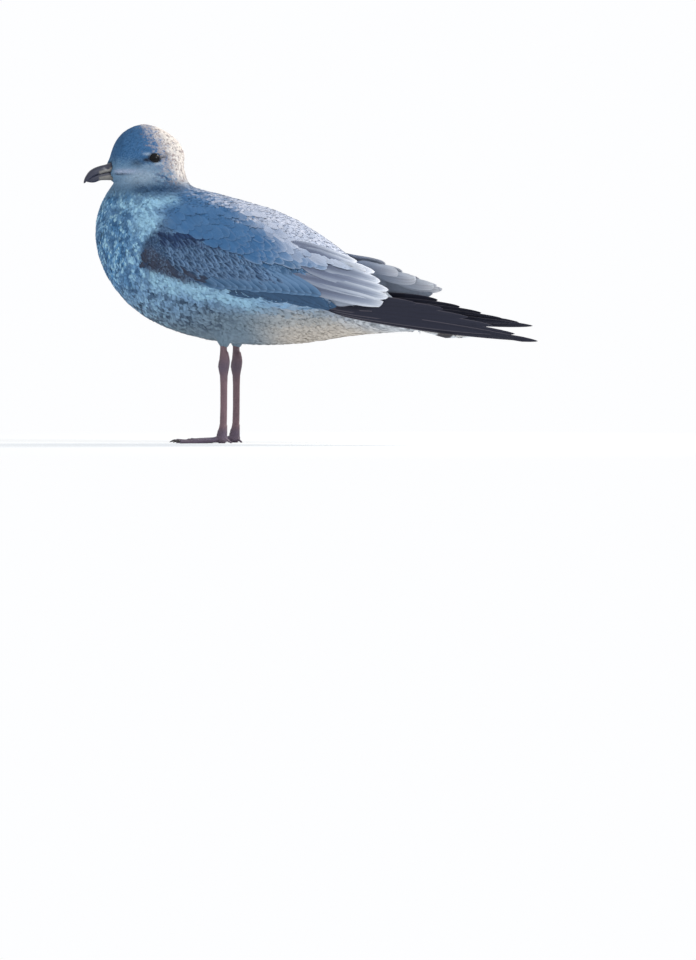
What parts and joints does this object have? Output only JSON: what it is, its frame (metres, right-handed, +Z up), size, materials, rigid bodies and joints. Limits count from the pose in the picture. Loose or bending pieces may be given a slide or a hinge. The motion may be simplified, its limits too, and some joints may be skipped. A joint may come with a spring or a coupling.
{
  "type": "first-winter ring-billed gull model",
  "caption": "Life-size still model of a young gull standing with wings folded and head turned to its left: mottled breast, grey back, dark wing points, webbed feet.",
  "frame": {"origin": "floor level, under the middle of the length and width of the gull", "axes": "the body faces -X, +Z is up, the gull's left side is -Y"},
  "size_m": [0.407, 0.1212, 0.2837],
  "materials": {
    "head_feathers": "soft white plumage with fine brown streaks",
    "body_feathers": "white plumage with brown spots in front, blue-grey mantle above",
    "wing_feathers": "grey-brown coverts with pale edges",
    "wing_point_feathers": "blackish-brown flight feathers, slight sheen",
    "tail_feathers": "white vanes with a dark band before the tip",
    "bill": "satin horn, pinkish base and blackish tip",
    "eye": "wet gloss, very dark brown",
    "leg_skin": "scaled skin, dull pinkish brown",
    "claw": "satin dark horn"
  },
  "bodies": {
    "root": {"head": "head_feathers", "neck": "head_feathers", "trunk": "body_feathers", "bill_upper": "bill", "bill_lower": "bill", "tail": "tail_feathers", "eye_left": "eye", "wing_left": "wing_feathers", "primaries_left": "wing_point_feathers", "thigh_left": "body_feathers", "leg_left": "leg_skin", "foot_left": "leg_skin", "claw_left_inner": "claw", "claw_left_middle": "claw", "claw_left_outer": "claw", "eye_right": "eye", "wing_right": "wing_feathers", "primaries_right": "wing_point_feathers", "thigh_right": "body_feathers", "leg_right": "leg_skin", "foot_right": "leg_skin", "claw_right_inner": "claw", "claw_right_middle": "claw", "claw_right_outer": "claw"}
  },
  "joints": []
}
